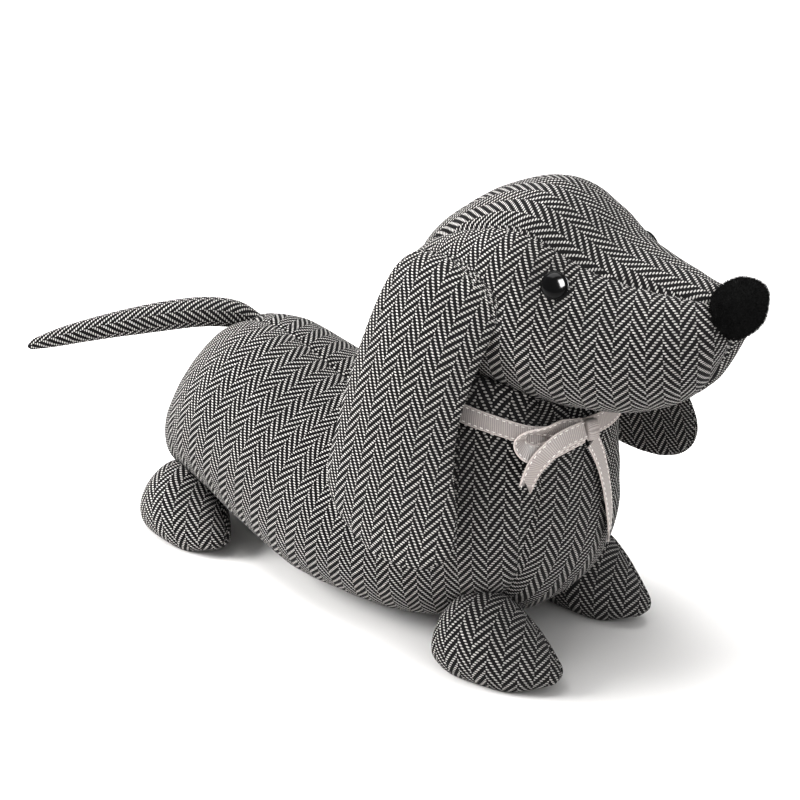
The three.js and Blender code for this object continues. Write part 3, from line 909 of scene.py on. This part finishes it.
class MakeEars(bpy.types.Operator):
    """Sew the two hanging ears, each a turned flap of two layers"""
    bl_idname = "doorstop.make_ears"
    bl_label = "Ears"

    def execute(self, context):
        cover = context.scene.doorstop_cover
        columns = 40
        angles = ring_angles(columns)
        for node, rows, side in (("ear_right", EAR_RIGHT, -1), ("ear_left", EAR_LEFT, 1)):
            rings = []
            for place in even_places(rows, lambda s: np.array([s[EAR_REAR], 0, s[EAR_Z]]),
                                     cover.spacing / MM):
                level = between(rows, place)
                middle = (level[EAR_FRONT] + level[EAR_REAR]) / 2
                half = (level[EAR_FRONT] - level[EAR_REAR]) / 2
                ring = []
                for angle in angles:
                    reach = math.cos(angle)
                    edge = squared_off(math.sin(angle), EAR_SQUARENESS)
                    y = level[EAR_MIDDLE] - level[EAR_CURL] * reach**2 + EAR_THICKNESS / 2 * edge
                    ring.append((middle + half * reach, side * y, level[EAR_Z]))
                rings.append(ring)
            tips = tuple((x, side * y, z) for x, y, z in (EAR_TOP, EAR_ENDS[node]))
            sewn_piece(node, rings, tips, (columns - 2, columns // 2 + 2), seed=5.2 + side, fill=0.3,
                       neighbours=("head_cloth", "body_cloth"), pucker=0.25, lumps=0.25, crease=0.3)
        return {"FINISHED"}


class MakeTail(bpy.types.Operator):
    """Sew the tail, a narrow tube with one seam underneath"""
    bl_idname = "doorstop.make_tail"
    bl_label = "Tail"

    def execute(self, context):
        columns = 16
        seam = 12
        angles = ring_angles(columns)
        swing = Matrix.Rotation(math.radians(TAIL_SWING), 3, "Z")

        def place_on_dog(point):
            return Vector(TAIL_ROOT) + swing @ Vector(point)

        rings = []
        places = even_places(TAIL, lambda s: np.array([s[TAIL_ALONG], 0, s[TAIL_RISE]]), SMALL_SPACING)
        sections = [between(TAIL, place) for place in places]
        for section in sections:
            radius = section[TAIL_RADIUS]
            rings.append([
                place_on_dog((-section[TAIL_ALONG], radius * math.cos(a),
                              section[TAIL_RISE] + radius * math.sin(a)))
                for a in angles
            ])
        tips = (place_on_dog(TAIL_END), place_on_dog(TAIL_TIP))
        tube = {
            "columns": columns,
            "seam": seam,
            "peak": TAIL_PEAK_COLUMN,
            "runs": [section[TAIL_ALONG] for section in sections],
            "radii": [section[TAIL_RADIUS] for section in sections],
        }
        sewn_piece("tail", rings, tips, (seam,), seed=9.4, fill=0.8, neighbours=("body_cloth",), tube=tube,
                   pucker=0.4, lumps=0.3)
        return {"FINISHED"}


class MakeNose(bpy.types.Operator):
    """Make the padded plush nose and its pile"""
    bl_idname = "doorstop.make_nose"
    bl_label = "Nose"

    def execute(self, context):
        bm = bmesh.new()
        bmesh.ops.create_uvsphere(bm, u_segments=48, v_segments=32, radius=1)
        for vertex in bm.verts:
            uneven = 1 + 0.05 * noise.noise(vertex.co * 1.8)
            x, y, z = (uneven * squared_off(n, NOSE_SQUARENESS) for n in vertex.co)
            vertex.co = at((
                NOSE["x"] + (NOSE["length"] - 1) * x,
                (NOSE["half_width"] - 1) * y,
                NOSE["z"] + (NOSE["half_height"] - 1) * z,
            ))
        cap = object_from("nose_cap", bm)
        keep_clear(cap, "head_cloth")
        trim = context.scene.doorstop_trim
        plush = nose_plush()
        pile = grown("nose_pile", cap, pile_tree(), {
            "Fibres": trim.pile_count / MM**2,
            "Length": trim.pile_length,
            "Thickness": 0.16 * MM,
            "Fibre material": plush,
        })
        finish_piece(cap, "nose", plush)
        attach(pile, "root")
        return {"FINISHED"}


def node_tree_with(name, sockets):
    """An empty geometry node tree with a geometry input, named inputs and a geometry output."""
    tree = bpy.data.node_groups.new(name, "GeometryNodeTree")
    tree.interface.new_socket("Geometry", in_out="INPUT", socket_type="NodeSocketGeometry")
    for socket_name, socket_type in sockets:
        tree.interface.new_socket(socket_name, in_out="INPUT", socket_type=socket_type)
    tree.interface.new_socket("Geometry", in_out="OUTPUT", socket_type="NodeSocketGeometry")
    return tree, add(tree, "NodeGroupInput")


def grown(name, source, tree, values):
    """What a node tree makes on a copy of an object, as a plain mesh object."""
    obj = bpy.data.objects.new(name, source.data.copy())
    bpy.context.collection.objects.link(obj)
    modifier = obj.modifiers.new(name, "NODES")
    modifier.node_group = tree
    for item in tree.interface.items_tree:
        if item.in_out == "INPUT" and item.name in values:
            modifier[item.identifier] = values[item.name]
    applied(obj)
    return obj


def pile_tree():
    """Short tapered fibres that stand out of a surface and lean a little every way."""
    tree, given = node_tree_with("Pile", [
        ("Fibres", "NodeSocketFloat"),
        ("Length", "NodeSocketFloat"),
        ("Thickness", "NodeSocketFloat"),
        ("Fibre material", "NodeSocketMaterial"),
    ])
    roots = add(tree, "GeometryNodeDistributePointsOnFaces",
                {"Mesh": given.outputs["Geometry"], "Density": given.outputs["Fibres"], "Seed": 4})
    fibre = add(tree, "GeometryNodeMeshCone",
                {"Vertices": 3, "Radius Top": 0.0, "Radius Bottom": given.outputs["Thickness"],
                 "Depth": given.outputs["Length"]}, fill_type="NGON")
    lean = add(tree, "FunctionNodeRandomValue", {0: (-0.75, -0.75, 0.0), 1: (0.75, 0.75, 6.28), "Seed": 9},
               data_type="FLOAT_VECTOR")
    size = add(tree, "FunctionNodeRandomValue", {2: 0.6, 3: 1.1, "Seed": 2}, data_type="FLOAT")
    turned = add(tree, "FunctionNodeRotateRotation",
                 {0: roots.outputs["Rotation"], 1: lean.outputs[0]}, rotation_space="LOCAL")
    planted = add(tree, "GeometryNodeInstanceOnPoints",
                  {"Points": roots.outputs["Points"], "Instance": fibre.outputs["Mesh"], "Rotation": turned,
                   "Scale": size.outputs[1]})
    real = add(tree, "GeometryNodeRealizeInstances", {"Geometry": planted})
    dyed = add(tree, "GeometryNodeSetMaterial",
               {"Geometry": real, "Material": given.outputs["Fibre material"]})
    add(tree, "NodeGroupOutput", {0: dyed})
    return tree


def stitch_tree():
    """Saddle stitches along a path: one plump bead of thread after the other, lying on the cloth."""
    tree, given = node_tree_with("Saddle stitches", [
        ("Pitch", "NodeSocketFloat"),
        ("Length", "NodeSocketFloat"),
        ("Width", "NodeSocketFloat"),
        ("Thread", "NodeSocketMaterial"),
    ])
    curve = add(tree, "GeometryNodeMeshToCurve", {"Mesh": given.outputs["Geometry"]})
    spots = add(tree, "GeometryNodeResampleCurve", {"Curve": curve, "Length": given.outputs["Pitch"]},
                mode="LENGTH")
    tangent = add(tree, "GeometryNodeInputTangent")
    out = add(tree, "GeometryNodeInputNamedAttribute", {"Name": "out"}, data_type="FLOAT_VECTOR")
    along = add(tree, "FunctionNodeAlignRotationToVector", {"Vector": tangent}, axis="X")
    lying = add(tree, "FunctionNodeAlignRotationToVector",
                {"Rotation": along, "Vector": out.outputs["Attribute"]}, axis="Z", pivot_axis="X")
    bead = add(tree, "GeometryNodeMeshUVSphere", {"Segments": 7, "Rings": 6, "Radius": 0.5})
    scale = add(tree, "ShaderNodeCombineXYZ",
                {"X": given.outputs["Length"], "Y": given.outputs["Width"], "Z": given.outputs["Width"]})
    sewn = add(tree, "GeometryNodeInstanceOnPoints",
               {"Points": spots, "Instance": bead.outputs["Mesh"], "Rotation": lying, "Scale": scale})
    real = add(tree, "GeometryNodeRealizeInstances", {"Geometry": sewn})
    smooth = add(tree, "GeometryNodeSetShadeSmooth", {0: real})
    dyed = add(tree, "GeometryNodeSetMaterial", {"Geometry": smooth, "Material": given.outputs["Thread"]})
    add(tree, "NodeGroupOutput", {0: dyed})
    return tree


class MakeEyes(bpy.types.Operator):
    """Turn the two domed eyes with their thin rims"""
    bl_idname = "doorstop.make_eyes"
    bl_label = "Eyes"

    def execute(self, context):
        radius = context.scene.doorstop_trim.eye_diameter / 2 / MM
        seat = EYE_SOCKET - EYE_DENT["depth"]
        rise = EYE_CROWN - EYE_RIM - seat
        plastic = eye_plastic()
        dome = [(radius * 0.9 * math.cos(a), EYE_RIM + rise * math.sin(a)) for a in np.linspace(0,
                                                                                                math.pi / 2, 14)]
        profile = [(radius * 0.93, 0), (radius * 0.96, 0.2), (radius * 0.96, EYE_RIM - 0.2),
                   (radius * 0.93, EYE_RIM)] + dome[:-1]
        for node, side in (("eye_right", -1), ("eye_left", 1)):
            centre, out = eye_seat(side)
            turn = Vector((0, 0, 1)).rotation_difference(Vector(out)).to_matrix()
            bm = bmesh.new()
            sectors = 48
            rings = []
            for across, up in profile:
                rings.append([bm.verts.new(Vector(centre) + turn @ Vector((
                    across * math.cos(2 * math.pi * k / sectors),
                    across * math.sin(2 * math.pi * k / sectors),
                    up + seat)) * MM) for k in range(sectors)])
            top = bm.verts.new(Vector(centre) + turn @ Vector((0, 0, dome[-1][1] + seat)) * MM)
            bm.faces.new(list(reversed(rings[0])))
            for k in range(sectors):
                n = (k + 1) % sectors
                for ring, following in zip(rings, rings[1:]):
                    bm.faces.new((ring[k], ring[n], following[n], following[k]))
                bm.faces.new((rings[-1][k], rings[-1][n], top))
            finish_piece(object_from(f"{node}_dome", bm), node, plastic)
        return {"FINISHED"}


def ribbon_mesh(name, centres, closed):
    """A ribbon through its centres: each gives a middle, the half width and half thickness as vectors, and
    how far it has run. Returns the object and the paths of its two rows of stitches."""
    trim = bpy.context.scene.doorstop_trim
    inset = trim.stitch_inset / (trim.ribbon_width / 2)
    shares = np.array([-1, -0.93, -0.6, -0.2, 0.2, 0.6, 0.93, 1])
    bm = bmesh.new()
    layer = bm.loops.layers.uv.new("weave")
    grid = []
    for middle, width, thick, _ in centres:
        upper = [middle + width * s + thick for s in shares]
        lower = [middle + width * s - thick for s in reversed(shares)]
        grid.append([bm.verts.new(at(p)) for p in upper + lower])
    across = np.concatenate([shares, shares[::-1]]) * trim.ribbon_width / 2
    runs = [centre[3] * MM for centre in centres]
    sides = len(across)
    count = len(grid) if closed else len(grid) - 1
    for k in range(count):
        following = (k + 1) % len(grid)
        next_run = runs[following] if following else runs[k] + (runs[1] - runs[0])
        for j in range(sides):
            n = (j + 1) % sides
            face = bm.faces.new((grid[k][j], grid[k][n], grid[following][n], grid[following][j]))
            flat = ((across[j], runs[k]), (across[n], runs[k]), (across[n], next_run), (across[j], next_run))
            for loop, place in zip(face.loops, flat):
                loop[layer].uv = place
    if not closed:
        for k in (0, -1):
            half = sides // 2
            for j in range(half - 1):
                face = bm.faces.new((grid[k][j], grid[k][j + 1], grid[k][sides - 2 - j],
                                     grid[k][sides - 1 - j]))
                for loop in face.loops:
                    loop[layer].uv = (across[j], runs[k])
    obj = object_from(name, bm)
    paths = []
    for share in (-1 + inset, 1 - inset):
        line = [(at(middle + width * share + thick), Vector(thick).normalized())
                for middle, width, thick, _ in centres]
        paths.append(line + line[:1] if closed else line[1:-1])
    return obj, paths


def strip_centres(rows, slant, steps=14):
    """Middles, widths and thicknesses of a strip of ribbon over the body's skin."""
    trim = bpy.context.scene.doorstop_trim
    half_width = trim.ribbon_width / MM / 2
    half_thick = trim.ribbon_thickness / MM / 2
    count = (len(rows) - 1) * steps

    def middle(k):
        row, turn, lift, lean = between(rows, k / steps)
        point, out = skin_place(BODY, row, turn, lift)
        return point, out, math.radians(lean)

    centres = []
    run = 0
    for k in range(count + 1):
        point, out, lean = middle(k)
        late = min(k + 0.2, count)
        path = middle(late)[0] - middle(late - 0.4)[0] if k else middle(0.4)[0] - point
        path /= np.linalg.norm(path)
        across = np.cross(path, out)
        across /= np.linalg.norm(across)
        up = np.cross(across, path)
        width = (across * math.cos(lean) + up * math.sin(lean)) * half_width
        thick = (up * math.cos(lean) - across * math.sin(lean)) * half_thick
        if centres:
            run += np.linalg.norm(point - centres[-1][0])
        if k == count:
            width = width + path * slant
        centres.append((point, width, thick, run))
    return centres


def band_centres():
    """Middles, widths and thicknesses of the band round the neck, drawn down a little behind the loop."""
    trim = bpy.context.scene.doorstop_trim
    half_thick = trim.ribbon_thickness / MM / 2
    lift = 0.6 + half_thick
    sectors = 180
    centres = []
    run = 0
    for k in range(sectors):
        turn = 360 * k / sectors
        row = COLLAR_ROW - BAND_DIP["rows"] * math.exp(-((turn - BAND_DIP["turn"]) / BAND_DIP["reach"]) ** 2)
        middle, out = skin_place(BODY, row, turn, lift)
        width = skin_place(BODY, row + 0.1, turn, lift)[0] - middle
        width *= trim.ribbon_width / MM / 2 / np.linalg.norm(width)
        if centres:
            run += np.linalg.norm(middle - centres[-1][0])
        centres.append((middle, width, out * half_thick, run))
    return centres


class MakeRibbon(bpy.types.Operator):
    """Tie the ribbon: the band, the knot, the loop and two free ends, with saddle stitches along both edges"""
    bl_idname = "doorstop.make_ribbon"
    bl_label = "Ribbon"

    def execute(self, context):
        cloth = grosgrain()
        strips = {
            "ribbon_band": (band_centres(), True, "stretched"),
            "ribbon_loop": (strip_centres(BOW_LOOP, 0), False, "folded"),
            "ribbon_tail_right": (strip_centres(BOW_TAIL_RIGHT, RIGHT_SLANT), False, "draped"),
            "ribbon_tail_left": (strip_centres(BOW_TAIL_LEFT, LEFT_SLANT), False, "draped"),
        }
        paths = []
        for node, (centres, closed, held) in strips.items():
            obj, lines = ribbon_mesh(f"{node}_cloth", centres, closed)
            paths += lines
            finish_piece(obj, node, cloth)
            run = centres[-1][3] * MM
            if closed:
                run += float(np.linalg.norm(centres[0][0] - centres[-1][0])) * MM
        self.knot(cloth)
        self.stitches(context, paths)
        return {"FINISHED"}

    def knot(self, cloth):
        point, out = skin_place(BODY, KNOT["row"], KNOT["turn"], KNOT["lift"])
        up = section_point(between(BODY, KNOT["row"] + 0.1), KNOT["turn"])
        up -= section_point(between(BODY, KNOT["row"]), KNOT["turn"])
        up -= out * np.dot(up, out)
        up /= np.linalg.norm(up)
        side = np.cross(up, out)
        bm = bmesh.new()
        bmesh.ops.create_uvsphere(bm, u_segments=40, v_segments=28, radius=1)
        layer = bm.loops.layers.uv.new("weave")
        for face in bm.faces:
            for loop in face.loops:
                x, y, z = loop.vert.co
                loop[layer].uv = (x * KNOT["half_width"] * MM, math.atan2(z, y) * KNOT["half_height"] * MM)
        for vertex in bm.verts:
            x, y, z = (squared_off(n, KNOT_SQUARENESS) for n in vertex.co)
            pinch = 1 - 0.12 * math.cos(2.2 * y)
            vertex.co = at(point + side * KNOT["half_width"] * x * pinch + up * KNOT["half_height"] * y
                           + out * KNOT["half_depth"] * z)
        finish_piece(object_from("ribbon_knot_cloth", bm), "ribbon_knot", cloth)

    def stitches(self, context, paths):
        trim = context.scene.doorstop_trim
        points = [point for line in paths for point, _ in line]
        edges = []
        start = 0
        for line in paths:
            edges += [(start + i, start + i + 1) for i in range(len(line) - 1)]
            start += len(line)
        mesh = bpy.data.meshes.new("stitch_paths")
        mesh.from_pydata(points, edges, [])
        outs = mesh.attributes.new("out", "FLOAT_VECTOR", "POINT")
        outs.data.foreach_set("vector", [c for line in paths for _, out in line for c in out])
        source = bpy.data.objects.new("stitch_paths", mesh)
        obj = grown("ribbon_stitches", source, stitch_tree(), {
            "Pitch": trim.stitch_pitch,
            "Length": trim.stitch_length,
            "Width": trim.stitch_width,
            "Thread": stitching_thread(),
        })
        bpy.data.objects.remove(source)
        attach(obj, "root")


class MakeStudio(bpy.types.Operator):
    """Set the pale floor, the soft lights and the camera"""
    bl_idname = "doorstop.make_studio"
    bl_label = "Studio"

    def execute(self, context):
        self.floor(context)
        self.sky(context)
        aim = at(CAMERA_AIM)
        key = self.lamp(context, "Key light", aim, (-1.2, -1.05, 0.8), size=0.9, watts=44)
        key.visible_glossy = False
        self.lamp(context, "Overhead light", aim, (-0.35, 0.15, 1.6), size=1.6, watts=42)
        sparkle = self.lamp(context, "Eye light", aim, (1.5, -0.35, 1.35), size=1.25, watts=370)
        sparkle.visible_diffuse = False
        self.camera(context, aim)
        context.scene.view_settings.view_transform = "Standard"
        context.scene.view_settings.gamma = 0.85
        return {"FINISHED"}

    def floor(self, context):
        mesh = bpy.data.meshes.new("floor")
        size = 6.0
        drop = -0.0002
        corners = [(-size, -size, drop), (size, -size, drop), (size, size, drop), (-size, size, drop)]
        mesh.from_pydata(corners, [], [(0, 1, 2, 3)])
        floor = bpy.data.objects.new("floor", mesh)
        context.collection.objects.link(floor)
        constants = {"Base Color": (*linear("#F4F3F2"), 1), "Roughness": 0.9, "Specular IOR Level": 0.1}
        material, _, _ = new_material("Matt white paper", constants)
        mesh.materials.append(material)

    def sky(self, context):
        world = bpy.data.worlds.new("White studio")
        world.use_nodes = True
        background = world.node_tree.nodes["Background"]
        background.inputs["Color"].default_value = (1, 1, 1, 1)
        background.inputs["Strength"].default_value = 0.66
        context.scene.world = world

    def lamp(self, context, name, aim, offset, size, watts):
        data = bpy.data.lights.new(name, "AREA")
        data.size = size
        data.energy = watts
        lamp = bpy.data.objects.new(name, data)
        place = aim + Vector(offset)
        lamp.location = place
        lamp.rotation_euler = (aim - place).to_track_quat("-Z", "Y").to_euler()
        context.collection.objects.link(lamp)
        return lamp

    def camera(self, context, aim):
        azimuth = math.radians(CAMERA_AZIMUTH)
        elevation = math.radians(CAMERA_ELEVATION)
        back = Vector((
            math.sin(azimuth) * math.cos(elevation),
            -math.cos(azimuth) * math.cos(elevation),
            math.sin(elevation),
        ))
        data = bpy.data.cameras.new("Camera")
        data.lens = CAMERA_LENS
        data.sensor_width = 36
        camera = bpy.data.objects.new("Camera", data)
        camera.location = aim + back * CAMERA_DISTANCE
        camera.rotation_euler = back.to_track_quat("Z", "Y").to_euler()
        context.collection.objects.link(camera)
        context.scene.camera = camera


OPERATORS = (MakeStudio, MakeHead, MakeBody, MakeFeet, MakeEars, MakeTail, MakeNose, MakeEyes, MakeRibbon)


class DoorstopPanel(bpy.types.Panel):
    """Lists the doorstop's pieces in the order in which they are sewn"""
    bl_idname = "VIEW3D_PT_doorstop"
    bl_label = "Dog doorstop"
    bl_space_type = "VIEW_3D"
    bl_region_type = "UI"
    bl_category = "Doorstop"

    def draw(self, context):
        for operator in OPERATORS:
            self.layout.operator(operator.bl_idname)
        for group in (context.scene.doorstop_cover, context.scene.doorstop_weave,
                      context.scene.doorstop_trim):
            box = self.layout.box()
            for name in group.bl_rna.properties.keys():
                if name not in ("rna_type", "name"):
                    box.prop(group, name)


CLASSES = (CoverSettings, WeaveSettings, TrimSettings, *OPERATORS, DoorstopPanel)


def register():
    for cls in CLASSES:
        bpy.utils.register_class(cls)
    bpy.types.Scene.doorstop_cover = PointerProperty(type=CoverSettings)
    bpy.types.Scene.doorstop_weave = PointerProperty(type=WeaveSettings)
    bpy.types.Scene.doorstop_trim = PointerProperty(type=TrimSettings)


def unregister():
    del bpy.types.Scene.doorstop_cover
    del bpy.types.Scene.doorstop_weave
    del bpy.types.Scene.doorstop_trim
    for cls in reversed(CLASSES):
        bpy.utils.unregister_class(cls)


def main():
    register()
    bpy.ops.doorstop.make_studio()
    bpy.ops.doorstop.make_head()
    bpy.ops.doorstop.make_body()
    bpy.ops.doorstop.make_feet()
    bpy.ops.doorstop.make_ears()
    bpy.ops.doorstop.make_tail()
    bpy.ops.doorstop.make_nose()
    bpy.ops.doorstop.make_eyes()
    bpy.ops.doorstop.make_ribbon()
    bpy.context.view_layer.update()


if __name__ == "__main__":
    main()
